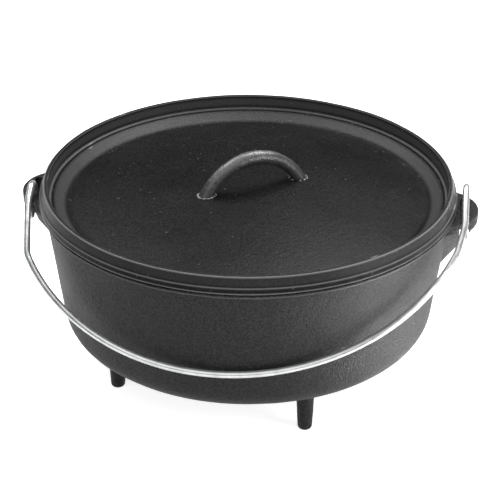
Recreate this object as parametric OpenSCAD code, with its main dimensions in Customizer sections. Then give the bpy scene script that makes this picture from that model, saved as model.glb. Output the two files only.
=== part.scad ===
// Camp dutch oven: legged pot with two bail ears, lid with a coal flange and a loop, wire bail.
// Millimetres. Origin on the ground under the middle of the pot, Z up, front towards -Y.
// The bail turns about a line along X through the front bars of both ears, where its hooks hang.

/* [Pot] */
// Outside radius of the wall just under the rim bead
pot_r = 169.7; // [164:0.1:172]
// Outside height of the pot, from its bottom to its rim
pot_h = 117.8; // [105:0.1:140]
// Lean of the wall from the vertical, degrees
wall_lean = 7.25; // [5:0.25:9]
// Radius of the outside corner at the bottom
corner_r = 21.6; // [16:0.1:30]
// Thickness of the wall
wall_t = 4.5; // [4:0.1:6]
// Thickness of the bottom
floor_t = 6; // [5:0.5:9]
// How far the rim bead stands out from the wall
rim_out = 3.8; // [3:0.1:4.4]
// Height of the rim bead
rim_h = 4; // [3:0.5:5]
// Bevel on the inside edge of the rim
rim_bevel = 3; // [2:0.1:3.2]

/* [Legs] */
// Height of the legs under the pot
leg_h = 43.2; // [30:0.1:60]
// Radius of a leg where it meets the pot
leg_top_r = 7.9; // [6:0.1:9]
// Radius of a leg near its foot
leg_tip_r = 5.9; // [4.5:0.1:6.5]
// Rounding at the foot of a leg
leg_round = 3.2; // [1:0.1:4]
// How far the middle of a leg lies inside the rim of the pot
leg_inset = 48.2; // [46:0.1:62]
// Turn of the right front leg from +X, degrees
leg_right_turn = -60.9; // [-75:0.1:-45]
// Turn of the left leg from +X, degrees
leg_left_turn = -149.5; // [-165:0.1:-135]
// Turn of the rear leg from +X, degrees
leg_rear_turn = 74.8; // [60:0.1:90]

/* [Ears] */
// How far an ear stands out from the wall
ear_out = 21.6; // [20:0.1:24]
// Radius of the half-moon outline of an ear
ear_curve_r = 33.4; // [31:0.2:35]
// How far the top of an ear lies under the rim
ear_drop = 5.5; // [5:0.5:8]
// Thickness of the upright edge of an ear
ear_edge_t = 10; // [8:0.5:12]
// Height of an ear from its foot on the wall to its top
ear_tall = 51; // [44:0.5:56]
// Radius of an ear at its foot on the wall
ear_foot_r = 6.2; // [5:0.1:9]
// Distance from the wall to the middle of the slot in an ear
slot_out = 11.1; // [10.6:0.1:11.6]
// Width of the slot in an ear
slot_w = 8.4; // [7.6:0.1:9]
// Length of the slot in an ear
slot_l = 30; // [28:0.5:31]
// Depth of the pivot line of the bail under the top of the ears
bar_sink = 2.3; // [2:0.1:3]
// Rounding left round the bar that a hook of the bail hangs on
bar_round = 1; // [0.6:0.1:1.4]

/* [Lid] */
// How far the lid stands out over the rim bead
lid_over = 0.8; // [0.4:0.1:1]
// Height of the coal flange above the seat
flange_h = 14; // [12:0.5:20]
// How far the flange leans in from the seat to its top edge
flange_in = 4.3; // [3:0.1:5]
// Width of the top edge of the flange
flange_top_w = 3.5; // [3:0.1:4.2]
// Height of the plain band at the foot of the flange
band_h = 5.6; // [4:0.1:7]
// Width of the bevel between the foot of the flange and the domed plate
bevel_w = 14.6; // [10:0.1:25]
// How far the edge of the plate lies under the seat
plate_drop = 5.4; // [4:0.1:6]
// Rise of the plate from its edge to its middle
dome_h = 10.4; // [6:0.1:14]
// Thickness of the plate
plate_t = 6; // [5:0.1:8]
// Gap between the lid and the inside of the rim
lid_gap = 1.2; // [0.8:0.1:2]

/* [Lid loop] */
// Distance between the feet of the loop
loop_span = 84; // [70:1:100]
// Height of the loop above the plate, to the middle of the bar
loop_rise = 25.5; // [22:0.5:32]
// Radius of the bar of the loop
loop_bar_r = 5.6; // [4:0.1:6.5]
// Depth of the feet cast into the plate
loop_sunk = 3; // [2:0.1:3.5]
// How far the middle of the loop lies to the right of the middle of the lid
loop_right = 3.6; // [0:0.1:6]
// How far the middle of the loop lies behind the middle of the lid
loop_back = 2.6; // [0:0.1:6]
// Turn of the loop from the bail line, degrees
loop_turn = 30.6; // [-90:0.1:90]

/* [Bail] */
// Radius of the wire
wire_r = 2.75; // [2.4:0.05:3]
// How much larger the radius of the bow is than the distance from the middle to a slot
bow_more = 15; // [12:0.1:16]
// Sideways shift of the bow, as the wire was bent by hand
bow_shift = -6.7; // [-6.7:0.1:6.5]
// Radius of the bend from each arm into the bow
shoulder_r = 40; // [30:1:44]
// How far each arm leans in on its way to the bow, degrees
arm_lean = 11.7; // [8:0.1:12.5]
// Distance from the pivot line to the point where an arm starts to lean
arm_bend = 10; // [8:0.5:12]
// Distance from the pivot line to the bend of the left hook
left_hook_l = 4; // [3:0.5:24]
// Distance from the pivot line to the bend of the right hook
right_hook_l = 24; // [3:0.5:24]
// How far the tail of a hook reaches past the pivot line
tail_l = 10; // [7:0.5:12]
// Gap between a hook and the bar that it hangs on
hook_gap = 0.6; // [0.4:0.1:1]
// Gap between the crown of the bail and the wall of the pot at rest
rest_gap = 1.4; // [1:0.1:3]
// Angle of the bail under the level at rest, degrees
bail_rest = 28.7; // [24:0.1:30]

/* [Hidden] */
$fn = 144;
over = 1;
rim_z = leg_h + pot_h;
bead_z = rim_z - rim_h;
bead_rise = rim_h / 3;
rim_r = pot_r + rim_h * tan(wall_lean);
inner_r = pot_r - wall_t / cos(wall_lean);
inner_rim_r = rim_r - wall_t / cos(wall_lean);
leg_circle_r = pot_r - leg_inset;
ear_z = rim_z - ear_drop;
ear_tip_x = pot_r + ear_out;
ear_x = ear_tip_x - ear_curve_r;
slot_x = pot_r + slot_out;
bar_edge_y = -sqrt(pow(ear_curve_r, 2) - pow(slot_x - ear_x, 2));
pivot_y = (bar_edge_y - slot_l / 2) / 2;
bar_half_w = (-slot_l / 2 - bar_edge_y) / 2;
bar_r = sqrt(pow(bar_half_w, 2) + pow(bar_sink, 2)) + bar_round;
hook_r = bar_r + hook_gap + wire_r;
pivot_z = ear_z - bar_sink;
channel_r = max(left_hook_l, right_hook_l) + hook_r + wire_r + hook_gap;
lid_r = pot_r + rim_out + lid_over;
flange_top_r = lid_r - flange_in;
step_h = 0.6;
step_w = 0.8;
foot_z = 2.4;
flange_draft = 1.1;
foot_r = flange_top_r - flange_top_w - flange_draft;
plate_r = foot_r - bevel_w;
groove_w = 1;
groove_h = 1.4;
bevel_gap = 0.4;
seat_inset = 0.45;
seat_in_r = inner_rim_r + rim_bevel - seat_inset;
skirt_r = inner_rim_r - rim_bevel * tan(wall_lean) - lid_gap;
skirt_z = -rim_bevel - bevel_gap;
skirt_h = 3.1;
skirt_low_z = skirt_z - skirt_h;
dome_steps = 16;
foot_dome_z = dome_h * (1 - pow(loop_span / 2 / plate_r, 2)) - plate_drop;
loop_r = (pow(loop_span / 2, 2) + pow(loop_rise, 2)) / (2 * loop_rise);
loop_z = rim_z + foot_dome_z + loop_rise - loop_r;
loop_end = asin((loop_r - loop_rise - loop_sunk) / loop_r);
reach_run = pot_r + pivot_y - hook_r * sin(bail_rest) + (wire_r + rest_gap) / cos(wall_lean);
reach_drop = (bead_z - pivot_z - hook_r * cos(bail_rest)) * tan(wall_lean);
bail_reach = (reach_run - reach_drop) / (cos(bail_rest) + sin(bail_rest) * tan(wall_lean));
bow_r = slot_x + bow_more;
bow_v = bail_reach - bow_r;
right_side = 1;
left_side = -1;
hook_stub = 3.5;
hook_end = arm_bend - hook_stub;
knuckle_out = 0.05;
knuckle_tip = 35;
knuckle_r = wire_r + knuckle_out;
iron = [0.20, 0.20, 0.21];
steel = [0.78, 0.79, 0.80];

function corner_x(top_r, top_z, low_z, r) =
    top_r - (top_z - low_z - r) * tan(wall_lean) - r / cos(wall_lean);

function dome_at(r) = dome_h * (1 - pow(r / plate_r, 2)) - plate_drop;

// Half section of a bowl filled to the top: leaning side, round corner, flat bottom
module bowl_half(top_r, low_z, r, end_z) {
    cx = corner_x(top_r, bead_z, low_z, r);
    cz = low_z + r;
    polygon([
        [0, low_z],
        [cx, low_z],
        [cx + r * cos(wall_lean), cz - r * sin(wall_lean)],
        [top_r + (end_z - bead_z) * tan(wall_lean), end_z],
        [0, end_z]]);
    translate([cx, cz])
        circle(r = r);
}

module bowl_outside() {
    rotate_extrude()
        bowl_half(pot_r, leg_h, corner_r, rim_z);
}

module bowl_inside() {
    rotate_extrude() {
        bowl_half(inner_r, leg_h + floor_t, corner_r - wall_t, rim_z + over);
        polygon([
            [inner_rim_r - rim_bevel, rim_z - rim_bevel],
            [inner_rim_r - rim_bevel * tan(wall_lean), rim_z - rim_bevel],
            [inner_rim_r + rim_bevel, rim_z],
            [inner_rim_r + rim_bevel, rim_z + over],
            [inner_rim_r - rim_bevel, rim_z + over]]);
    }
}

module rim_bead() {
    rotate_extrude()
        polygon([
            [pot_r - wall_t / 2, bead_z],
            [pot_r, bead_z],
            [pot_r + rim_out, bead_z + bead_rise],
            [pot_r + rim_out, rim_z],
            [pot_r - wall_t / 2, rim_z]]);
}

module pot() {
    color(iron)
        difference() {
            union() {
                bowl_outside();
                rim_bead();
            }
            bowl_inside();
        }
}

module leg(turn) {
    color(iron)
        rotate([0, 0, turn])
            translate([leg_circle_r, 0, 0])
                rotate_extrude() {
                    polygon([
                        [0, 0],
                        [leg_tip_r - leg_round, 0],
                        [leg_tip_r, leg_round],
                        [leg_top_r, leg_h],
                        [0, leg_h]]);
                    intersection() {
                        translate([leg_tip_r - leg_round, leg_round])
                            circle(r = leg_round);
                        square([leg_top_r, leg_h]);
                    }
                }
}

module right_front_leg() {
    leg(leg_right_turn);
}

module left_leg() {
    leg(leg_left_turn);
}

module rear_leg() {
    leg(leg_rear_turn);
}

// Half-moon tab with a flat top that tapers down to the wall, on the +X side
module ear_blank() {
    translate([ear_x, 0, ear_z - ear_edge_t])
        cylinder(r = ear_curve_r, h = ear_edge_t);
    translate([ear_x, 0, ear_z - ear_tall])
        cylinder(r1 = ear_foot_r, r2 = ear_curve_r, h = ear_tall - ear_edge_t);
}

module ear_slot() {
    translate([slot_x, 0, leg_h])
        linear_extrude(pot_h) {
            square([slot_w, slot_l - slot_w], center = true);
            translate([0, slot_l / 2 - slot_w / 2])
                circle(d = slot_w);
            translate([0, slot_w / 2 - slot_l / 2])
                circle(d = slot_w);
        }
}

// Room for a hook of the bail to turn: leaves a round-bottomed bar at the front of the slot
module hook_channel() {
    translate([slot_x, pivot_y, pivot_z])
        rotate([0, 90, 0])
            difference() {
                cylinder(r = channel_r, h = slot_w, center = true);
                cylinder(r = bar_r, h = slot_w + 2 * over, center = true);
            }
}

module ear() {
    color(iron)
        difference() {
            ear_blank();
            bowl_outside();
            ear_slot();
            hook_channel();
        }
}

module right_ear() {
    ear();
}

module left_ear() {
    mirror([1, 0, 0])
        ear();
}

module loop_bar() {
    translate([loop_right, loop_back, loop_z])
        rotate([90, 0, loop_turn])
            rotate([0, 0, loop_end])
                rotate_extrude(angle = 180 - 2 * loop_end)
                    translate([loop_r, 0])
                        circle(r = loop_bar_r);
}

module lid() {
    dome_top = [for (i = [0 : dome_steps]) [plate_r * i / dome_steps, dome_at(plate_r * i / dome_steps)]];
    dome_low = [for (i = [0 : dome_steps]) [plate_r * (1 - i / dome_steps),
        dome_at(plate_r * (1 - i / dome_steps)) - plate_t]];
    flange = [
        [foot_r - 2 * groove_w, foot_z - groove_h / 2],
        [foot_r - groove_w, foot_z - groove_h],
        [foot_r, foot_z],
        [flange_top_r - flange_top_w, flange_h],
        [flange_top_r, flange_h],
        [lid_r - 2 * step_w - step_h / 2, band_h + step_h],
        [lid_r - step_w - step_h / 2, band_h],
        [lid_r, step_w],
        [lid_r - step_w, 0],
        [seat_in_r, 0],
        [skirt_r, skirt_z],
        [skirt_r - over, skirt_low_z],
        [(skirt_r + plate_r) / 2 + over, -plate_drop - plate_t + 2 * over]];
    color(iron)
        difference() {
            translate([0, 0, rim_z])
                rotate_extrude()
                    polygon(concat(dome_top, flange, dome_low));
            loop_bar();
        }
}

module lid_handle() {
    color(iron)
        loop_bar();
}

// Length of a leaning arm, from the bend above its hook to the shoulder that touches the bow inside
function arm_l(side) =
    let (x = slot_x - shoulder_r * cos(arm_lean) - side * bow_shift,
         v = arm_bend - shoulder_r * sin(arm_lean) - bow_v,
         along = v * cos(arm_lean) - x * sin(arm_lean))
    sqrt(pow(bow_r - shoulder_r, 2) - x * x - v * v + along * along) - along;

function shoulder_x(side) = slot_x - arm_l(side) * sin(arm_lean) - shoulder_r * cos(arm_lean);

function shoulder_v(side) = arm_bend + arm_l(side) * cos(arm_lean) - shoulder_r * sin(arm_lean);

function bow_start(side) = atan2(shoulder_v(side) - bow_v, shoulder_x(side) - side * bow_shift);

// A slight swell where one bend of the wire runs into the next
module knuckle(x, v, z) {
    translate([x, -v, z])
        rotate([knuckle_tip, 0, 0])
            sphere(r = knuckle_r);
}

// Shoulder and leaning arm of one end, down to the hook, drawn flat on the +X side
module bail_arm(side) {
    start = bow_start(side);
    long = arm_l(side);
    knuckle(shoulder_x(side) + shoulder_r * cos(start), shoulder_v(side) + shoulder_r * sin(start), hook_r);
    translate([shoulder_x(side), -shoulder_v(side), hook_r])
        rotate([0, 0, -start])
            rotate_extrude(angle = start - arm_lean)
                translate([shoulder_r, 0])
                    circle(r = wire_r);
    knuckle(slot_x - long * sin(arm_lean), arm_bend + long * cos(arm_lean), hook_r);
    translate([slot_x, -arm_bend, hook_r])
        rotate([90, 0, -arm_lean])
            cylinder(r = wire_r, h = long);
    knuckle(slot_x, arm_bend, hook_r);
    translate([slot_x, -hook_end, hook_r])
        rotate([90, 0, 0])
            cylinder(r = wire_r, h = arm_bend - hook_end);
}

// Hairpin end that hangs on the bar of an ear, drawn flat on the +X side
module hook(hook_l) {
    translate([slot_x, hook_l, hook_r])
        rotate([90, 0, 0])
            cylinder(r = wire_r, h = hook_end + hook_l);
    knuckle(slot_x, -hook_l, hook_r);
    translate([slot_x, hook_l, 0])
        rotate([0, 90, 0])
            rotate_extrude(angle = 180)
                translate([hook_r, 0])
                    circle(r = wire_r);
    knuckle(slot_x, -hook_l, -hook_r);
    translate([slot_x, hook_l, -hook_r])
        rotate([90, 0, 0])
            cylinder(r = wire_r, h = tail_l + hook_l);
    knuckle(slot_x, tail_l, -hook_r);
}

// Turns what is drawn flat round the pivot line, down to the front of the pot
module at_rest() {
    color(steel)
        translate([0, pivot_y, pivot_z])
            rotate([bail_rest, 0, 0])
                children();
}

module bail_bow() {
    translate([bow_shift, -bow_v, hook_r])
        rotate([0, 0, 180 + bow_start(left_side)])
            rotate_extrude(angle = 180 - bow_start(left_side) - bow_start(right_side))
                translate([bow_r, 0])
                    circle(r = wire_r);
}

module bail() {
    at_rest() {
        bail_bow();
        bail_arm(right_side);
        mirror([1, 0, 0])
            bail_arm(left_side);
    }
}

module right_hook() {
    at_rest()
        hook(right_hook_l);
}

module left_hook() {
    at_rest()
        mirror([1, 0, 0])
            hook(left_hook_l);
}

pot();
right_front_leg();
left_leg();
rear_leg();
left_ear();
right_ear();
lid();
lid_handle();
bail();
left_hook();
right_hook();
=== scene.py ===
import bpy
import bmesh
from math import sin, cos, tan, acos, atan2, radians, pi, sqrt, hypot, ceil
from mathutils import Vector, Matrix, noise


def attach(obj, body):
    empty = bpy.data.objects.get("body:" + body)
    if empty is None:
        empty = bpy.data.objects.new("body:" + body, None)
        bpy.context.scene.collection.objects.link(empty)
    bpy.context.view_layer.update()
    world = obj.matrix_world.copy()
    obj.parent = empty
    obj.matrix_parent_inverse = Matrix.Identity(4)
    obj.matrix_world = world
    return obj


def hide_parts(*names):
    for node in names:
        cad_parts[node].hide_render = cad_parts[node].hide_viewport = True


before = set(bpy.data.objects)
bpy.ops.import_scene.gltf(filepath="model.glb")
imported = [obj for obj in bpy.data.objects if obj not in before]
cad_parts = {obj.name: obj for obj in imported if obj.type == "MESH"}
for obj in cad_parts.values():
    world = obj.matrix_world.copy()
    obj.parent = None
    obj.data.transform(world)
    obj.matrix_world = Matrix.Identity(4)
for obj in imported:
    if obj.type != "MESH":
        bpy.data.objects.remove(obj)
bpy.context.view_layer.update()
mm = 0.001
print("frame loaded:", len(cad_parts), "solids")


# Camera, from the circles of the lid and pot in the photograph

cameraSet = {
    "turn": 6.3,                # degrees round from straight in front, to the right
    "rise": 28.8,               # degrees above the horizon
    "roll": 0.17,               # degrees
    "distance": 1450,           # mm
    "aim": (1.60, 0.26, 105),   # mm
    "lens": 122.4,              # mm, 1700 px of focal length on a 500 px frame
    "sensor": 36,               # mm
    "farthest": 50,             # m
}


def placeCamera(look):
    turn, rise, roll = (radians(look[key]) for key in ("turn", "rise", "roll"))
    back = Vector((sin(turn) * cos(rise), -cos(turn) * cos(rise), sin(rise)))
    right = Vector((cos(turn), sin(turn), 0))
    up = back.cross(right)
    tiltedRight = right * cos(roll) + up * sin(roll)
    tiltedUp = up * cos(roll) - right * sin(roll)
    data = bpy.data.cameras.new("studioCamera")
    data.lens = look["lens"]
    data.sensor_width = look["sensor"]
    data.clip_end = look["farthest"]
    camera = bpy.data.objects.new("studioCamera", data)
    bpy.context.scene.collection.objects.link(camera)
    spot = Vector(look["aim"]) * mm + back * look["distance"] * mm
    axes = Matrix((tiltedRight, tiltedUp, back)).transposed()
    camera.matrix_world = Matrix.Translation(spot) @ axes.to_4x4()
    bpy.context.scene.camera = camera


placeCamera(cameraSet)
print("camera placed")


# Small tools for meshes; here and for every piece, sizes are in mm and angles in degrees

def filletOutline(corners, stepAngle=12, almostStraight=178):
    # corners are (r, z, fillet radius); each fillet becomes an arc
    points = []
    for index, (r, z, radius) in enumerate(corners):
        here = Vector((r, z))
        if radius <= 0 or index in (0, len(corners) - 1):
            points.append(here)
            continue
        before = (Vector(corners[index - 1][:2]) - here).normalized()
        after = (Vector(corners[index + 1][:2]) - here).normalized()
        between = acos(max(-1, min(1, before.dot(after))))
        if between > radians(almostStraight):
            points.append(here)
            continue
        reach = radius / tan(between / 2)
        middle = here + (before + after).normalized() * radius / sin(between / 2)
        start = here + before * reach - middle
        end = here + after * reach - middle
        sweep = pi - between
        side = 1 if start.cross(end) > 0 else -1
        steps = max(2, ceil(sweep / radians(stepAngle)))
        for step in range(steps + 1):
            angle = side * sweep * step / steps
            points.append(middle + Vector((start.x * cos(angle) - start.y * sin(angle),
                                           start.x * sin(angle) + start.y * cos(angle))))
    return points


def evenOutline(points, longest):
    # no step along the outline is longer than this
    even = [points[0]]
    for before, after in zip(points, points[1:]):
        parts = max(1, ceil((after - before).length / longest))
        even += [before.lerp(after, part / parts) for part in range(1, parts + 1)]
    return even


def shiftedOutline(corners, r, z):
    return [(r + cornerR, z + cornerZ, fillet) for cornerR, cornerZ, fillet in corners]


def makePiece(name, vertices, faces):
    mesh = bpy.data.meshes.new(name)
    mesh.from_pydata([tuple(c * mm for c in v) for v in vertices], [], faces)
    mesh.validate()
    work = bmesh.new()
    work.from_mesh(mesh)
    bmesh.ops.recalc_face_normals(work, faces=work.faces)
    work.to_mesh(mesh)
    work.free()
    mesh.shade_smooth()
    piece = bpy.data.objects.new(name, mesh)
    bpy.context.scene.collection.objects.link(piece)
    return piece


def turnedPiece(name, outline, around, centre=(0, 0)):
    # outline runs from the axis back to the axis
    onAxis = 1e-6
    vertices, rows, faces = [], [], []
    for point in outline:
        if point.x < onAxis:
            rows.append([len(vertices)] * around)
            vertices.append((centre[0], centre[1], point.y))
            continue
        rows.append(list(range(len(vertices), len(vertices) + around)))
        for step in range(around):
            angle = 2 * pi * step / around
            vertices.append((centre[0] + point.x * cos(angle), centre[1] + point.x * sin(angle), point.y))
    for low, high in zip(rows, rows[1:]):
        for step in range(around):
            following = (step + 1) % around
            face = [low[step], low[following], high[following], high[step]]
            face = [v for index, v in enumerate(face) if v != face[index - 1]]
            if len(face) > 2:
                faces.append(face)
    return makePiece(name, vertices, faces)


def domedEnd(ring, outward, count):
    # the rings of a bar's round end, from the bar outwards
    point, across, upward, radius = ring
    dome = []
    for step in range(1, count + 1):
        angle = pi / 2 * step / (count + 1)
        dome.append((point + outward * radius * sin(angle), across, upward, radius * cos(angle)))
    return dome


def sweptBar(name, path, radiusAt, around, capRings):
    # a round bar along a path, with domed ends; radiusAt takes the share of the way along it
    path = [Vector(p) for p in path]
    tangents = []
    for index in range(len(path)):
        ahead = path[min(index + 1, len(path) - 1)]
        behind = path[max(index - 1, 0)]
        tangents.append((ahead - behind).normalized())
    side = tangents[0].orthogonal().normalized()
    bar = []
    for index, (point, tangent) in enumerate(zip(path, tangents)):
        side = (side - tangent * side.dot(tangent)).normalized()
        bar.append((point, side.copy(), tangent.cross(side), radiusAt(index / (len(path) - 1))))
    first, last = bar[0], bar[-1]
    startDome = domedEnd(first, -tangents[0], capRings)
    endDome = domedEnd(last, tangents[-1], capRings)
    rings = startDome[::-1] + bar + endDome
    vertices, faces = [], []
    for point, across, upward, radius in rings:
        for step in range(around):
            angle = 2 * pi * step / around
            vertices.append(point + across * radius * cos(angle) + upward * radius * sin(angle))
    for ring in range(len(rings) - 1):
        for step in range(around):
            following = (step + 1) % around
            faces.append((ring * around + step, ring * around + following,
                          (ring + 1) * around + following, (ring + 1) * around + step))
    vertices += [first[0] - tangents[0] * first[3], last[0] + tangents[-1] * last[3]]
    top = (len(rings) - 1) * around
    for step in range(around):
        following = (step + 1) % around
        faces.append((following, step, len(vertices) - 2))
        faces.append((top + step, top + following, len(vertices) - 1))
    return makePiece(name, vertices, faces)


seedStep = (1, 2.7, 1.3)        # how far one seed moves the waves, in wave sizes


def roughen(piece, layers):
    # layers are (size of the waves, height, seed): sand moulds are never quite true
    mesh = piece.data
    moves = []
    for vertex in mesh.vertices:
        height = 0
        for size, tall, seed in layers:
            spot = vertex.co / (size * mm) + Vector([step * seed for step in seedStep])
            height += noise.noise(spot) * tall * mm
        moves.append(vertex.co + vertex.normal * height)
    for vertex, place in zip(mesh.vertices, moves):
        vertex.co = place
    mesh.update()


def rubAndSheenRings(piece, rings):
    # rings are (r, z, reach, amount): where the iron is painted paler, partly for wear from handling and
    # grinding, partly as painted highlight lines and painted sheen; in full on the inner half of the reach
    rubAndSheen = piece.data.attributes.new("rubAndSheen", "FLOAT", "POINT")
    for vertex in piece.data.vertices:
        r = hypot(vertex.co.x, vertex.co.y) / mm
        z = vertex.co.z / mm
        for ringR, ringZ, reach, amount in rings:
            near = 1 - hypot(r - ringR, z - ringZ) / reach
            if near > 0:
                mark = rubAndSheen.data[vertex.index]
                mark.value = max(mark.value, amount * min(1, 2 * near))


def settle(piece):
    # the modifiers' result becomes the mesh
    graph = bpy.context.evaluated_depsgraph_get()
    mesh = bpy.data.meshes.new_from_object(piece.evaluated_get(graph))
    piece.modifiers.clear()
    piece.data = mesh


def cutAway(piece, *cutters):
    for cutter in cutters:
        cut = piece.modifiers.new("cut", "BOOLEAN")
        cut.operation = "DIFFERENCE"
        cut.object = cutter
        cut.solver = "EXACT"
    settle(piece)
    for cutter in cutters:
        bpy.data.objects.remove(cutter, do_unlink=True)


def joinInto(piece, other):
    work = bmesh.new()
    work.from_mesh(piece.data)
    work.from_mesh(other.data)
    work.to_mesh(piece.data)
    work.free()
    bpy.data.objects.remove(other, do_unlink=True)


def softCasting(piece, grain, rounds):
    # voxel skin and a few smoothing rounds: the soft edges and fillets of a casting
    skin = piece.modifiers.new("skin", "REMESH")
    skin.mode = "VOXEL"
    skin.voxel_size = grain * mm
    smooth = piece.modifiers.new("smooth", "SMOOTH")
    smooth.factor = 0.5
    smooth.iterations = rounds
    settle(piece)
    piece.data.shade_smooth()


# Materials

def hexLinear(code):
    # an sRGB hex colour as linear red, green, blue and alpha
    channels = [int(code[start:start + 2], 16) / 255 for start in (1, 3, 5)]
    return [c / 12.92 if c <= 0.04045 else ((c + 0.055) / 1.055) ** 2.4 for c in channels] + [1]


def addNode(tree, kind, settings=(), links=()):
    # settings are values of its sockets or properties, links are what feeds its sockets
    node = tree.nodes.new(kind)
    for key, value in dict(settings).items():
        if isinstance(key, int) or key in node.inputs:
            node.inputs[key].default_value = value
        else:
            setattr(node, key, value)
    for key, socket in dict(links).items():
        tree.links.new(socket, node.inputs[key])
    return node


def perMetre(sizeMm):
    # the scale that gives a pattern this size
    return 1 / (sizeMm * mm)


def castIron(name, look):
    # Grey iron poured in sand, shot-blasted and baked with oil: near black, satin, finely pebbled.
    # The real grit is about 0.4 mm; it is drawn coarser so that it shows at this size.
    material = bpy.data.materials.new(name)
    material.use_nodes = True
    tree = material.node_tree
    shader = tree.nodes["Principled BSDF"]
    shader.inputs["IOR"].default_value = 1.5
    shader.inputs["Specular IOR Level"].default_value = look["gloss"]
    rubAndSheen = addNode(tree, "ShaderNodeAttribute", {"attribute_name": "rubAndSheen"}).outputs["Fac"]
    place = addNode(tree, "ShaderNodeTexCoord").outputs["Object"]
    patches = addNode(tree, "ShaderNodeTexNoise",
                      {"Scale": perMetre(look["patchMm"]), "Detail": 5, "Roughness": 0.6},
                      {"Vector": place})
    grit = addNode(tree, "ShaderNodeTexNoise",
                   {"Scale": perMetre(look["gritMm"]), "Detail": 2.5, "Roughness": 0.65},
                   {"Vector": place})
    pebble = addNode(tree, "ShaderNodeTexNoise",
                     {"Scale": perMetre(look["pebbleMm"]), "Detail": 2},
                     {"Vector": place})
    tone = addNode(tree, "ShaderNodeValToRGB", links={"Fac": patches.outputs["Fac"]})
    tone.color_ramp.elements[0].position = 0.3
    tone.color_ramp.elements[0].color = hexLinear(look["dark"])
    tone.color_ramp.elements[1].position = 0.72
    tone.color_ramp.elements[1].color = hexLinear(look["light"])
    # the base colour is darker in the pits between the grains and paler on their crests
    grainTone = addNode(tree, "ShaderNodeMapRange",
                        {"From Min": 0.38, "From Max": 0.62,
                         "To Min": 1 - look["pitContrast"], "To Max": 1 + look["pitContrast"]},
                        {"Value": grit.outputs["Fac"]})
    pitToned = addNode(tree, "ShaderNodeVectorMath", {"operation": "SCALE"},
                     {0: tone.outputs["Color"], "Scale": grainTone.outputs["Result"]})
    # single grains stand proud in the bump, and their base colour is painted paler as painted glints
    cells = addNode(tree, "ShaderNodeTexVoronoi", {"Scale": perMetre(look["speckMm"])}, {"Vector": place})
    specks = addNode(tree, "ShaderNodeMapRange",
                     {"From Min": 0.05, "From Max": 0.14, "To Min": 1, "To Max": 0},
                     {"Value": cells.outputs["Distance"]})
    chosen = addNode(tree, "ShaderNodeSeparateColor", links={"Color": cells.outputs["Color"]})
    some = addNode(tree, "ShaderNodeMath", {"operation": "GREATER_THAN", 1: 0.55}, {0: chosen.outputs[0]})
    speckMask = addNode(tree, "ShaderNodeMath", {"operation": "MULTIPLY"},
                        {0: specks.outputs["Result"], 1: some.outputs[0]})
    # sharp edges, found from the mesh's pointiness, are painted paler: partly seasoning worn off, partly
    # painted highlight lines
    edge = addNode(tree, "ShaderNodeNewGeometry")
    wornAndLit = addNode(tree, "ShaderNodeMapRange",
                   {"From Min": 0.52, "From Max": 0.6, "To Min": 0, "To Max": look["edgeWearAndSheen"]},
                   {"Value": edge.outputs["Pointiness"]})
    paler = addNode(tree, "ShaderNodeMath",
                    {"operation": "MULTIPLY_ADD", 1: look["speckGlintTone"], "use_clamp": True},
                    {0: speckMask.outputs[0], 2: wornAndLit.outputs["Result"]})
    # all the paler marks together: wear, painted highlight lines, painted glints and painted sheen
    paleMarks = addNode(tree, "ShaderNodeMath", {"operation": "ADD", "use_clamp": True},
                   {0: paler.outputs[0], 1: rubAndSheen})
    rubbedAndSheen = addNode(tree, "ShaderNodeMix", {"data_type": "RGBA", 7: hexLinear(look["wornAndLit"])},
                     {0: paleMarks.outputs[0], 6: pitToned.outputs[0]})
    tree.links.new(rubbedAndSheen.outputs[2], shader.inputs["Base Color"])
    sheen = addNode(tree, "ShaderNodeMapRange",
                    {"From Min": 0.3, "From Max": 0.7, "To Min": look["satin"], "To Max": look["matt"]},
                    {"Value": patches.outputs["Fac"]})
    tree.links.new(sheen.outputs["Result"], shader.inputs["Roughness"])
    # grit, pebbles and proud grains all stand up from the skin
    waves = addNode(tree, "ShaderNodeMath", {"operation": "MULTIPLY_ADD", 1: look["pebble"]},
                    {0: pebble.outputs["Fac"], 2: grit.outputs["Fac"]})
    lumps = addNode(tree, "ShaderNodeMath", {"operation": "MULTIPLY_ADD", 1: look["speck"]},
                    {0: speckMask.outputs[0], 2: waves.outputs[0]})
    bump = addNode(tree, "ShaderNodeBump", {"Strength": look["relief"], "Distance": look["reliefMm"] * mm},
                   {"Height": lumps.outputs[0]})
    tree.links.new(bump.outputs["Normal"], shader.inputs["Normal"])
    return material


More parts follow.
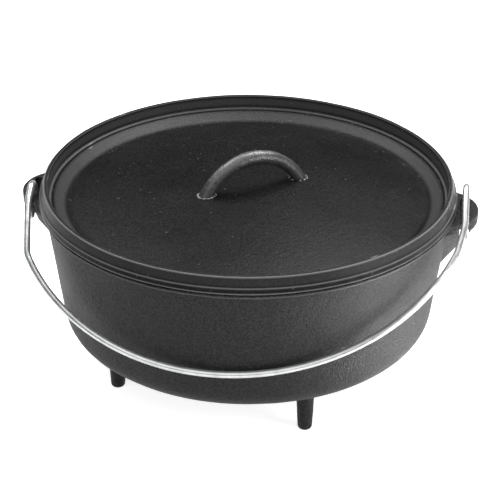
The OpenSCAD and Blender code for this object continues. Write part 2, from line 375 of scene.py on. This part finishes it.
def platedWire(name, look):
    # Drawn steel wire with zinc plating: a pale, softly shining mirror with faint draw marks and dull spots.
    # Metal is under 1 for the milky haze of the plating.
    material = bpy.data.materials.new(name)
    material.use_nodes = True
    tree = material.node_tree
    shader = tree.nodes["Principled BSDF"]
    shader.inputs["Metallic"].default_value = look["metal"]
    place = addNode(tree, "ShaderNodeTexCoord").outputs["Object"]
    spots = addNode(tree, "ShaderNodeTexNoise",
                    {"Scale": perMetre(look["spotMm"]), "Detail": 4},
                    {"Vector": place})
    fine = addNode(tree, "ShaderNodeTexNoise",
                   {"Scale": perMetre(look["drawMm"]), "Detail": 2},
                   {"Vector": place})
    tone = addNode(tree, "ShaderNodeValToRGB", links={"Fac": spots.outputs["Fac"]})
    tone.color_ramp.elements[0].position = 0.3
    tone.color_ramp.elements[0].color = hexLinear(look["dull"])
    tone.color_ramp.elements[1].position = 0.6
    tone.color_ramp.elements[1].color = hexLinear(look["bright"])
    tree.links.new(tone.outputs["Color"], shader.inputs["Base Color"])
    sheen = addNode(tree, "ShaderNodeMapRange",
                    {"From Min": 0.35, "From Max": 0.65, "To Min": look["smooth"], "To Max": look["rough"]},
                    {"Value": spots.outputs["Fac"]})
    tree.links.new(sheen.outputs["Result"], shader.inputs["Roughness"])
    bump = addNode(tree, "ShaderNodeBump",
                   {"Strength": look["relief"], "Distance": look["reliefMm"] * mm},
                   {"Height": fine.outputs["Fac"]})
    tree.links.new(bump.outputs["Normal"], shader.inputs["Normal"])
    return material


potIron = castIron("seasonedSandCastIronPot", {
    "dark": "#19191a", "light": "#222223", "wornAndLit": "#8e8e8d", "gloss": 0.18, "satin": 0.52, "matt": 0.62,
    "patchMm": 42, "gritMm": 1.7, "pitContrast": 0.75, "pebbleMm": 6, "pebble": 0.7, "speckMm": 7, "speck": 0.6,
    "speckGlintTone": 0.1, "relief": 1.0, "reliefMm": 0.6, "edgeWearAndSheen": 0.32})
lidIron = castIron("seasonedSandCastIronLid", {
    "dark": "#121213", "light": "#19191a", "wornAndLit": "#9c9c9c", "gloss": 0.09, "satin": 0.33, "matt": 0.4,
    "patchMm": 60, "gritMm": 1.7, "pitContrast": 0.6, "pebbleMm": 5, "pebble": 0.6, "speckMm": 8, "speck": 0.9,
    "speckGlintTone": 0.13, "relief": 0.7, "reliefMm": 0.4, "edgeWearAndSheen": 0.3})
# paler than the pot and with stronger pale marks: partly handling wear, partly a painted highlight along the
# bar's crown
loopIron = castIron("handledCastIronLoopPaintedSheen", {
    "dark": "#2a2a2a", "light": "#3a3a39", "wornAndLit": "#9a9995", "gloss": 1.0, "satin": 0.4, "matt": 0.48,
    "patchMm": 14, "gritMm": 1.6, "pitContrast": 0.2, "pebbleMm": 3.5, "pebble": 1.0, "speckMm": 5, "speck": 0.8,
    "speckGlintTone": 0.3, "relief": 0.6, "reliefMm": 0.4, "edgeWearAndSheen": 0.6})
bailSteel = platedWire("brightZincPlatedSteelWire", {
    "dull": "#b0b1b2", "bright": "#c8c9c9", "metal": 0.66, "smooth": 0.19, "rough": 0.26,
    "spotMm": 9, "drawMm": 1.2, "relief": 0.1, "reliefMm": 0.02})
print("materials made")


def dress(piece, material, body, slotName, *nodes):
    piece.data.materials.clear()
    piece.data.materials.append(material)
    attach(piece, body)
    if nodes:
        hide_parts(*nodes)
    return piece


# Pot: a turned bowl, wall leaning out, small bead at the rim

potSet = {
    "wallRadius": 169.7, "bottomZ": 43.2, "rimZ": 161, "lean": 7.25, "corner": 21.6,
    "wall": 4.5, "floor": 6,
    "beadHigh": 4, "beadOut": 3.8, "beadSlope": 1.4, "beadRoot": 2.2, "beadEdge": 0.9,
    "rimEdge": 1.08, "rimBevel": 3, "bevelEdge": 0.4, "bevelRoot": 1.5,
    "around": 320, "step": 3.5,
    "waves": ((46, 0.28, 3), (15, 0.09, 11)),
    "rubbedAndSheen": ((173.2, 158.6, 0.9, 0.22),),     # lower edge of the bead: partly wear, partly a painted highlight line
}


def bowlRadius(z, inset=0):
    # outside of the leaning wall, inset measured level
    beadZ = potSet["rimZ"] - potSet["beadHigh"]
    return potSet["wallRadius"] - inset - (beadZ - z) * tan(radians(potSet["lean"]))


def buildPot(size):
    slope = tan(radians(size["lean"]))
    thick = size["wall"] / cos(radians(size["lean"]))
    beadZ = size["rimZ"] - size["beadHigh"]
    insideZ = size["bottomZ"] + size["floor"]
    outer = size["wallRadius"]
    bead = outer + size["beadOut"]
    rimInside = outer + size["beadHigh"] * slope - thick
    corners = [
        (0, size["bottomZ"], 0),
        (bowlRadius(size["bottomZ"]), size["bottomZ"], size["corner"]),
        (outer, beadZ, size["beadRoot"]),
        (bead, beadZ + size["beadSlope"], size["beadEdge"]),
        (bead, size["rimZ"], size["rimEdge"]),
        (rimInside + size["rimBevel"], size["rimZ"], size["bevelEdge"]),
        (rimInside - size["rimBevel"] * slope, size["rimZ"] - size["rimBevel"], size["bevelRoot"]),
        (bowlRadius(insideZ, thick), insideZ, size["corner"] - size["wall"]),
        (0, insideZ, 0)]
    outline = evenOutline(filletOutline(corners), size["step"])
    piece = turnedPiece("potCasting", outline, size["around"])
    rubAndSheenRings(piece, size["rubbedAndSheen"])
    roughen(piece, size["waves"])
    return dress(piece, potIron, "pot", "pot_iron", "pot")


buildPot(potSet)
print("pot turned")


# Legs: tapered pegs, rounded feet, flared where they run into the bottom

legSet = {
    "circle": 121.5, "topRadius": 7.9, "footRadius": 5.9, "footRound": 3, "flare": 4.5,
    "collarWide": 3, "collarLow": 0.2, "collarHigh": 0.4, "sunk": 3, "around": 56, "step": 2,
    "legs": {                   # node: (piece, degrees round the pot from the right ear)
        "right_front_leg": ("rightFrontLegCasting", -60.9),
        "left_leg": ("leftLegCasting", -149.5),
        "rear_leg": ("rearLegCasting", 74.8),
    },
    "waves": ((9, 0.22, 5),),
}


def buildLegs(size, bottomZ):
    collar = size["topRadius"] + size["flare"] + size["collarWide"]
    corners = [
        (0, 0, 0),
        (size["footRadius"], 0, size["footRound"]),
        (size["topRadius"], bottomZ + size["collarLow"], size["flare"]),
        (collar, bottomZ + size["collarHigh"], 0),
        (collar, bottomZ + size["sunk"], 0),
        (0, bottomZ + size["sunk"], 0)]
    outline = evenOutline(filletOutline(corners), size["step"])
    for node, (name, turn) in size["legs"].items():
        spot = (size["circle"] * cos(radians(turn)), size["circle"] * sin(radians(turn)))
        piece = turnedPiece(name, outline, size["around"], spot)
        roughen(piece, size["waves"])
        dress(piece, potIron, "pot", "pot_iron", node)


buildLegs(legSet, potSet["bottomZ"])
print("legs turned")


# Ears: half-moon tabs with a slot, tapering down to the wall

earSet = {
    "tipX": 191.9, "curve": 34.0, "topZ": 155.7, "edge": 10, "tall": 51.2, "foot": 6.2,
    "footRound": 2, "edgeRound": 3, "topRound": 0.8, "around": 120, "step": 4,
    "slotX": 180.8, "slotWide": 8.4, "slotLong": 30, "slotLow": 90, "slotSteps": 16,
    "pivotY": -19.66, "pivotZ": 153.2, "bar": 6.19, "channel": 36.9, "channelSteps": 96,
    "sunk": 3, "cutLow": 30, "cutHigh": 170, "cutAround": 360,
    "skirt": 0.35, "skirtDeeper": 0.6, "skirtTurn": 15, "skirtLow": 92, "skirtHigh": 156.2,
    "skirtAcross": 40, "skirtRows": 24,
    "grain": 0.5, "rounds": 5,
    "waves": ((11, 0.16, 8),),
}


def bowlCutter(size):
    # takes away what would reach deeper into the wall than the ear is sunk
    low, high = size["cutLow"], size["cutHigh"]
    outline = [(0, low), (bowlRadius(low, size["sunk"]), low),
               (bowlRadius(high, size["sunk"]), high), (0, high)]
    return turnedPiece("earInside", [Vector(point) for point in outline], size["cutAround"])


def slotCutter(size):
    straight = (size["slotLong"] - size["slotWide"]) / 2
    radius = size["slotWide"] / 2
    half = []
    for step in range(size["slotSteps"] + 1):
        angle = pi * step / size["slotSteps"]
        half.append((radius * cos(angle), straight + radius * sin(angle)))
    outline = half + [(-x, -y) for x, y in half]
    count = len(outline)
    vertices = [(size["slotX"] + x, y, z) for z in (size["slotLow"], size["cutHigh"]) for x, y in outline]
    faces = [tuple(range(count)), tuple(range(count, 2 * count))]
    faces += [(i, (i + 1) % count, count + (i + 1) % count, count + i) for i in range(count)]
    return makePiece("earSlot", vertices, faces)


def ringCutter(size):
    # the room that a hook needs to turn round the front bar
    half, steps = size["slotWide"] / 2, size["channelSteps"]
    near, far = size["bar"], size["channel"]
    section = ((near, -half), (far, -half), (far, half), (near, half))
    sides = len(section)
    vertices, faces = [], []
    for step in range(steps):
        angle = 2 * pi * step / steps
        for radius, x in section:
            vertices.append((size["slotX"] + x, size["pivotY"] + radius * cos(angle),
                             size["pivotZ"] + radius * sin(angle)))
    for step in range(steps):
        here, there = sides * step, sides * ((step + 1) % steps)
        for corner in range(sides):
            following = (corner + 1) % sides
            faces.append((here + corner, here + following, there + following, there + corner))
    return makePiece("hookRoom", vertices, faces)


def earSkirt(size):
    # a slab of the leaning wall round the +X side, a little deeper than the ear is sunk
    across, rows = size["skirtAcross"], size["skirtRows"]
    vertices, faces = [], []
    for inset in (size["skirt"], size["sunk"] + size["skirtDeeper"]):
        for row in range(rows + 1):
            z = size["skirtLow"] + (size["skirtHigh"] - size["skirtLow"]) * row / rows
            radius = bowlRadius(z, inset)
            for column in range(across + 1):
                angle = radians(size["skirtTurn"] * (2 * column / across - 1))
                vertices.append((radius * cos(angle), radius * sin(angle), z))
    wide = across + 1
    sheet = wide * (rows + 1)
    for row in range(rows):
        for column in range(across):
            a = row * wide + column
            faces.append((a, a + 1, a + wide + 1, a + wide))
            faces.append((sheet + a, sheet + a + wide, sheet + a + wide + 1, sheet + a + 1))
    for column in range(across):
        top = rows * wide + column
        faces.append((column, sheet + column, sheet + column + 1, column + 1))
        faces.append((top, top + 1, sheet + top + 1, sheet + top))
    for row in range(rows):
        a, b = row * wide, row * wide + across
        faces.append((a, a + wide, sheet + a + wide, sheet + a))
        faces.append((b, sheet + b, sheet + b + wide, b + wide))
    return makePiece("earSkirt", vertices, faces)


def buildEar(size, side, name, node):
    footZ = size["topZ"] - size["tall"]
    corners = [
        (0, footZ, 0),
        (size["foot"], footZ, size["footRound"]),
        (size["curve"], size["topZ"] - size["edge"], size["edgeRound"]),
        (size["curve"], size["topZ"], size["topRound"]),
        (0, size["topZ"], 0)]
    outline = evenOutline(filletOutline(corners), size["step"])
    piece = turnedPiece(name, outline, size["around"], (size["tipX"] - size["curve"], 0))
    cutAway(piece, bowlCutter(size), slotCutter(size), ringCutter(size))
    # a thin skirt just under the wall's skin makes the smoothing leave a cast fillet
    joinInto(piece, earSkirt(size))
    softCasting(piece, size["grain"], size["rounds"])
    roughen(piece, size["waves"])
    if side < 0:
        for vertex in piece.data.vertices:
            vertex.co.x = -vertex.co.x
        piece.data.flip_normals()
    return dress(piece, potIron, "pot", "pot_iron", node)


buildEar(earSet, 1, "rightEarCasting", "right_ear")
buildEar(earSet, -1, "leftEarCasting", "left_ear")
print("ears cast")


# Lid: coal flange, groove, bevel and a gently domed plate

lidSet = {
    "seatZ": potSet["rimZ"], "seatRadius": 174.3, "footRadius": 165.4,
    "flangeTopRadius": 170, "flangeTopWide": 3.5, "flangeHigh": 14, "innerEdge": 0.8, "outerEdge": 0.6,
    "plateRadius": 150.8, "plateDrop": 5.4, "plateRound": 12, "plateThick": 6, "dome": 10.4,
    # stretches of the outline as (r, z, fillet), with z from the seat
    # and r from footRadius for the groove, from seatRadius for the band, from the axis for the locating step
    "groove": ((-3.2, 1.7, 0.8), (-2.3, 0.4, 0.4), (-1.5, 2.1, 0.6), (0.3, 2.7, 0.8)),
    "band": ((-1.95, 6.3, 0.5), (-1.0, 5.6, 0.5), (0, 1.3, 0.4), (-2.6, 0.6, 0.3), (-2.9, 0, 0.2)),
    "locatingStep": ((168.22, 0, 0.5), (164.09, -3.4, 1.0), (163.09, -6.5, 1.5), (158.4, -9.4, 4)),
    "around": 400, "rings": 22, "step": 1.2,
    "waves": ((55, 0.3, 2), (14, 0.1, 9)),
    # paler rings: on the edges partly wear and partly painted highlight lines; on the flange faces and the
    # bevel, painted sheen only
    "rubbedAndSheen": (
        (170, 175, 0.7, 0.42),          # outer edge of the flange's top
        (166.6, 175, 0.8, 0.1),         # its inner edge
        (172.9, 166.8, 0.7, 0.4),       # upper edge of the band
        (174.2, 162.3, 0.7, 0.4),       # its lower edge
        (171.4, 171, 4, 0.06),          # outer face of the flange, painted sheen
        (165.9, 169.5, 4.5, 0.12),      # its inner face, painted sheen
        (164.9, 163.5, 1.4, 0.25),      # foot of the flange
        (157.5, 159.2, 6.5, 0.1),       # bevel, painted sheen
    ),
}


def domeZ(radius):
    share = radius / lidSet["plateRadius"]
    return lidSet["seatZ"] + lidSet["dome"] * (1 - share * share) - lidSet["plateDrop"]


def buildLid(size):
    seat, plate, rings = size["seatZ"], size["plateRadius"], size["rings"]
    flangeTop = seat + size["flangeHigh"]
    top = [(plate * ring / rings, domeZ(plate * ring / rings), 0) for ring in range(rings)]
    flange = [(plate, seat - size["plateDrop"], size["plateRound"])]
    flange += shiftedOutline(size["groove"], size["footRadius"], seat)
    flange += [
        (size["flangeTopRadius"] - size["flangeTopWide"], flangeTop, size["innerEdge"]),
        (size["flangeTopRadius"], flangeTop, size["outerEdge"])]
    flange += shiftedOutline(size["band"], size["seatRadius"], seat)
    flange += shiftedOutline(size["locatingStep"], 0, seat)
    low = []
    for ring in range(1, rings + 1):
        radius = plate * (1 - ring / rings)
        low.append((radius, domeZ(radius) - size["plateThick"], 0))
    rim = evenOutline(filletOutline(top[-1:] + flange + low[:1]), size["step"])
    outline = filletOutline(top) + rim[1:-1] + filletOutline(low)
    piece = turnedPiece("lidCasting", outline, size["around"])
    rubAndSheenRings(piece, size["rubbedAndSheen"])
    roughen(piece, size["waves"])
    return dress(piece, lidIron, "lid", "lid_iron", "lid")


buildLid(lidSet)
print("lid turned")


# Loop on the lid: a cast bar, a little thicker at its feet and crown

loopSet = {
    "span": 84, "rise": 25.5, "bar": 5.3, "turn": 30.6, "middle": (3.6, 2.6), "sunk": 3,
    "swell": 0.9, "swellFade": 6, "crown": 1.0, "crownFade": 4,     # more radius at the feet and the crown
    "steps": 90, "around": 28, "capRings": 3,
    "waves": ((12, 0.35, 4), (4, 0.14, 6)),
}


def buildLoop(size):
    half = size["span"] / 2
    radius = (half * half + size["rise"] ** 2) / (2 * size["rise"])
    centreZ = domeZ(half) + size["rise"] - radius
    reach = acos((radius - size["rise"] - size["sunk"]) / radius)
    turn = radians(size["turn"])
    path = []
    for step in range(size["steps"] + 1):
        angle = reach * (1 - 2 * step / size["steps"])
        along = radius * sin(angle)
        path.append((size["middle"][0] + along * cos(turn), size["middle"][1] + along * sin(turn),
                     centreZ + radius * cos(angle)))

    def barRadius(share):
        swell = size["swell"] * abs(2 * share - 1) ** size["swellFade"]
        crown = size["crown"] * cos(pi * (share - 0.5)) ** size["crownFade"]
        return size["bar"] + swell + crown

    piece = sweptBar("lidLoop", path, barRadius, size["around"], size["capRings"])
    roughen(piece, size["waves"])
    return dress(piece, loopIron, "lid", "loop_iron", "lid_handle")


buildLoop(loopSet)


# Flash: a low ragged ridge round each foot of the loop, sitting in the plate

flashSet = {
    "radius": 6.6, "stretch": 1.12, "sunk": 0.35, "high": 1.3, "wide": 1.1,
    "level": {1: 0.2, -1: 0.55}, "leastLevel": 0.15,    # share of the full height, right foot is 1
    "narrow": 0.6, "widen": 0.5,                        # share of the width when low, and what height adds
    "raggedWaves": 3, "raggedSeed": 5.0, "raggedOut": 0.7, "raggedUp": 0.9,
    "steps": 96, "around": 10,
    "waves": ((2.5, 0.35, 7),),
}


def flashRoute(size, loop, side):
    # places round one foot, each with its level
    turn = radians(loop["turn"])
    lengthwise = Vector((cos(turn), sin(turn), 0))
    sideways = Vector((-sin(turn), cos(turn), 0))
    foot = Vector((*loop["middle"], 0)) + side * loop["span"] / 2 * lengthwise
    waves, seed = size["raggedWaves"], size["raggedSeed"] * side
    route = []
    for step in range(size["steps"]):
        angle = 2 * pi * step / size["steps"]
        ragged = noise.noise(Vector((waves * cos(angle), waves * sin(angle), seed)))
        far = size["radius"] + size["raggedOut"] * ragged
        along, aside = far * size["stretch"] * cos(angle), far * sin(angle)
        level = max(size["leastLevel"], size["level"][side] + size["raggedUp"] * ragged)
        route.append((foot + lengthwise * along + sideways * aside, level))
    return route


def buildFlash(size, loop, side, name):
    route = flashRoute(size, loop, side)
    around, count = size["around"], len(route)
    vertices, faces = [], []
    for index, (spot, level) in enumerate(route):
        ahead = route[(index + 1) % count][0] - route[index - 1][0]
        outward = Vector((ahead.y, -ahead.x, 0)).normalized()
        base = domeZ(hypot(spot.x, spot.y)) - size["sunk"]
        for step in range(around):
            angle = 2 * pi * step / around
            point = spot + outward * size["wide"] * (size["narrow"] + size["widen"] * level) * cos(angle)
            vertices.append((point.x, point.y, base + size["high"] * level * sin(angle)))
    for index in range(count):
        here, there = index * around, ((index + 1) % count) * around
        for step in range(around):
            following = (step + 1) % around
            faces.append((here + step, here + following, there + following, there + step))
    piece = makePiece(name, vertices, faces)
    roughen(piece, size["waves"])
    return dress(piece, loopIron, "lid", "loop_iron")


buildFlash(flashSet, loopSet, 1, "loopFlashRight")
buildFlash(flashSet, loopSet, -1, "loopFlashLeft")
print("loop cast")


# Bail: one wire, a bow with a hairpin hook at each end

bailSet = {
    "wire": 2.75, "rest": 28.7, "hook": 9.544, "reach": 160.11, "shift": -6.7,
    "pivotY": earSet["pivotY"], "pivotZ": earSet["pivotZ"], "slotX": earSet["slotX"],
    # right side is 1; the left shoulder is tighter, as in the photograph
    "bow": {1: 195.8, -1: 188.2}, "shoulder": {1: 40, -1: 24}, "lean": {1: 11.7, -1: 9},
    "hookLong": {1: 24, -1: 4}, "bend": 10, "bendSoft": 6, "tail": 10, "lead": 1,
    "hookSteps": 24, "bendSteps": 8, "shoulderSteps": 12, "bowSteps": 120,
    "step": 1.6, "around": 24, "capRings": 6,
    "waves": ((30, 0.03, 1),),
}


def bailHalf(size, side):
    # (x, v, w) from the tail to the bow: v from the pivot towards the crown, w above the pivot's plane
    lean = radians(size["lean"][side])
    shoulder, bow, long = (size[key][side] for key in ("shoulder", "bow", "hookLong"))
    slotX, hook, bend = size["slotX"], size["hook"], size["bend"]
    bowX, bowV = side * size["shift"], size["reach"] - bow
    # the arm is as long as it takes for the shoulder to run into the bow
    fromBow = Vector((slotX - shoulder * cos(lean) - bowX, bend - shoulder * sin(lean) - bowV))
    along = fromBow.y * cos(lean) - fromBow.x * sin(lean)
    arm = sqrt((bow - shoulder) ** 2 - fromBow.length_squared + along ** 2) - along
    middle = Vector((slotX - arm * sin(lean) - shoulder * cos(lean),
                     bend + arm * cos(lean) - shoulder * sin(lean)))
    start = atan2(middle.y - bowV, middle.x - bowX)
    lead = size["lead"] - long
    points = [(slotX, size["tail"], -hook), (slotX, lead, -hook)]
    for step in range(size["hookSteps"] + 1):
        angle = pi * step / size["hookSteps"]
        points.append((slotX, -long - hook * sin(angle), -hook * cos(angle)))
    points.append((slotX, lead, hook))
    for step in range(size["bendSteps"] + 1):
        # the slight bend above the hook, as a soft curve
        share = step / size["bendSteps"]
        early = (1 - share) ** 2 * size["bendSoft"]
        late = share ** 2 * size["bendSoft"]
        points.append((slotX - late * sin(lean), bend - early + late * cos(lean), hook))
    for step in range(size["shoulderSteps"] + 1):
        angle = lean + (start - lean) * step / size["shoulderSteps"]
        points.append((middle.x + shoulder * cos(angle), middle.y + shoulder * sin(angle), hook))
    return [(side * x, v, w) for x, v, w in points], start


def buildBail(size):
    right, rightStart = bailHalf(size, 1)
    left, leftStart = bailHalf(size, -1)
    bow = []
    for step in range(1, size["bowSteps"]):
        angle = rightStart + (pi - rightStart - leftStart) * step / size["bowSteps"]
        radius = size["bow"][1 if angle < pi / 2 else -1]
        bow.append((size["shift"] + radius * cos(angle), size["reach"] + radius * (sin(angle) - 1),
                    size["hook"]))
    flat = evenOutline([Vector(p) for p in right + bow + left[::-1]], size["step"])
    turn = radians(size["rest"])
    path = []
    for x, v, w in flat:
        y = size["pivotY"] - v * cos(turn) - w * sin(turn)
        z = size["pivotZ"] - v * sin(turn) + w * cos(turn)
        path.append((x, y, z))
    piece = sweptBar("bailWire", path, lambda share: size["wire"], size["around"], size["capRings"])
    roughen(piece, size["waves"])
    return dress(piece, bailSteel, "bail", "plated_wire", "bail", "left_hook", "right_hook")


buildBail(bailSet)
print("bail bent")


# Floor, sky and lamps

studioSet = {
    "floorWide": 12,            # m
    "floorTone": "#f0f0f0", "floorLift": 0.8,
    "roomTone": "#ffffff", "roomLevel": 0.08,
    "lamps": {
        # name: (right, away, up) in m as the camera sees it, the point it aims at in the same way,
        # (wide, tall) in m, watts, beam in degrees
        "keyBox": ((0.35, 0.45, 1.10), (0, 0, 0.15), (0.7, 0.5), 15, 180),
        "backBox": ((-0.50, 0.45, 0.95), (0, 0, 0.15), (0.5, 0.4), 6, 180),
        "rightBox": ((0.60, -0.36, 0.30), (0.12, -0.10, 0.08), (0.35, 0.30), 2.6, 180),
        # only lights the floor beside the pot, which the right wall mirrors
        "floorSpot": ((0.40, -0.24, 0.65), (0.28, -0.16, 0.00), (0.10, 0.10), 1.5, 26),
        "frontPanel": ((-0.25, -1.10, 1.10), (0, 0, 0.10), (1.8, 1.4), 13, 180),
        "topPanel": ((-0.30, 0.00, 1.45), (0, 0, 0.15), (1.2, 1.0), 5, 180),
    },
}


def backgroundRay(tree):
    # 1 where the camera sees the white floor, or a mirror or glass shows it
    path = addNode(tree, "ShaderNodeLightPath")
    first = addNode(tree, "ShaderNodeMath", {"operation": "MAXIMUM"},
                    {0: path.outputs["Is Camera Ray"], 1: path.outputs["Is Glossy Ray"]})
    return addNode(tree, "ShaderNodeMath", {"operation": "MAXIMUM"},
                   {0: first.outputs[0], 1: path.outputs["Is Transmission Ray"]}).outputs[0]


def whitePaper(name, size):
    # Uncoated white paper: matt, no shine at all, and lifted towards white only where it is seen.
    material = bpy.data.materials.new(name)
    material.use_nodes = True
    tree = material.node_tree
    shader = tree.nodes["Principled BSDF"]
    shader.inputs["Base Color"].default_value = hexLinear(size["floorTone"])
    shader.inputs["Roughness"].default_value = 0.9
    shader.inputs["Specular IOR Level"].default_value = 0
    shader.inputs["Emission Color"].default_value = (1, 1, 1, 1)
    lift = addNode(tree, "ShaderNodeMath", {"operation": "MULTIPLY", 1: size["floorLift"]},
                   {0: backgroundRay(tree)})
    tree.links.new(lift.outputs[0], shader.inputs["Emission Strength"])
    return material


def buildFloor(size):
    half = size["floorWide"] / 2 / mm
    corners = [(-half, -half, 0), (half, -half, 0), (half, half, 0), (-half, half, 0)]
    floor = makePiece("paleFloor", corners, [(0, 1, 2, 3)])
    floor.data.materials.append(whitePaper("whitePaperFloor", size))


def buildSky(size):
    world = bpy.data.worlds.new("studioRoom")
    bpy.context.scene.world = world
    world.use_nodes = True
    room = world.node_tree.nodes["Background"]
    room.inputs["Color"].default_value = hexLinear(size["roomTone"])
    room.inputs["Strength"].default_value = size["roomLevel"]


def fromCamera(right, away, up):
    # a place given as the camera sees it, from the middle of the pot on the floor
    turn = radians(cameraSet["turn"])
    across = Vector((cos(turn), sin(turn), 0))
    ahead = Vector((-sin(turn), cos(turn), 0))
    return across * right + ahead * away + Vector((0, 0, up))


def buildLamps(size):
    for name, (spot, target, (wide, tall), watts, beam) in size["lamps"].items():
        data = bpy.data.lights.new(name, "AREA")
        data.shape = "RECTANGLE"
        data.size = wide
        data.size_y = tall
        data.energy = watts
        data.spread = radians(beam)
        lamp = bpy.data.objects.new(name, data)
        bpy.context.scene.collection.objects.link(lamp)
        lamp.location = fromCamera(*spot)
        aim = fromCamera(*target) - lamp.location
        lamp.rotation_euler = aim.to_track_quat("-Z", "Y").to_euler()


buildFloor(studioSet)
buildSky(studioSet)
buildLamps(studioSet)
bpy.context.scene.view_settings.view_transform = "Standard"
print("studio lit")
